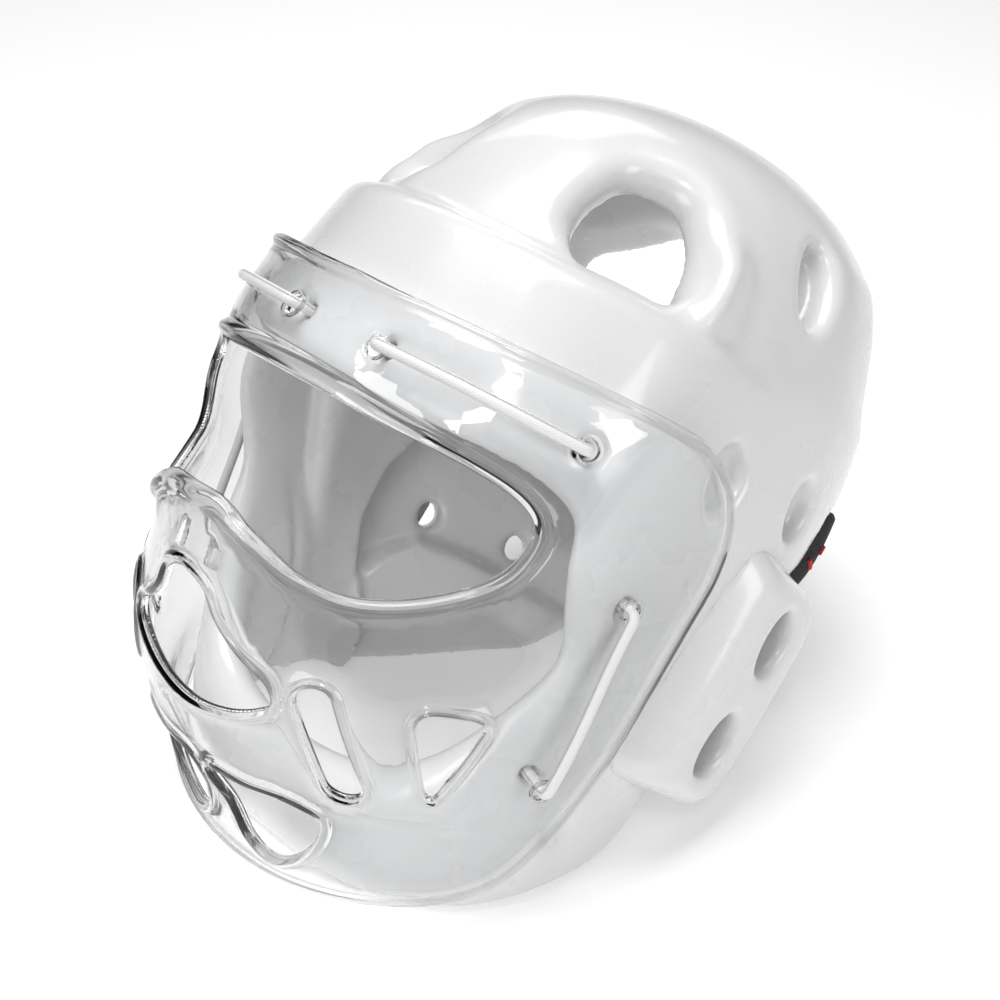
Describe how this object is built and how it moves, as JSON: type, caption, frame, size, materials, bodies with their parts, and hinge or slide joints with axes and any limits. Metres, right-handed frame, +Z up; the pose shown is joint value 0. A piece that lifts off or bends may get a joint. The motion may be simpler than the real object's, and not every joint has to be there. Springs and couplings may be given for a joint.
{
  "type": "full-face sparring headgear",
  "caption": "Dipped foam head guard with raised brow band, ear pads and vents, and a clear moulded face shield laced over its face opening.",
  "frame": {"origin": "middle of the bounding box, on the floor under the bottom rim", "axes": "+Z up as it stands on its rim, the face toward -Y, the wearer's left toward +X"},
  "size_m": [0.226, 0.3076, 0.2399],
  "materials": {
    "foam": "glossy dipped vinyl skin over foam",
    "shield": "clear moulded plastic",
    "cord": "white elastic cord",
    "strap": "black woven elastic"
  },
  "bodies": {
    "root": {"foam_shell": "foam", "ear_pad_left": "foam", "ear_pad_right": "foam", "face_shield": "shield", "brow_lace": "cord", "cheek_lace_left": "cord", "cheek_lace_right": "cord", "rear_strap": "strap"}
  },
  "joints": []
}
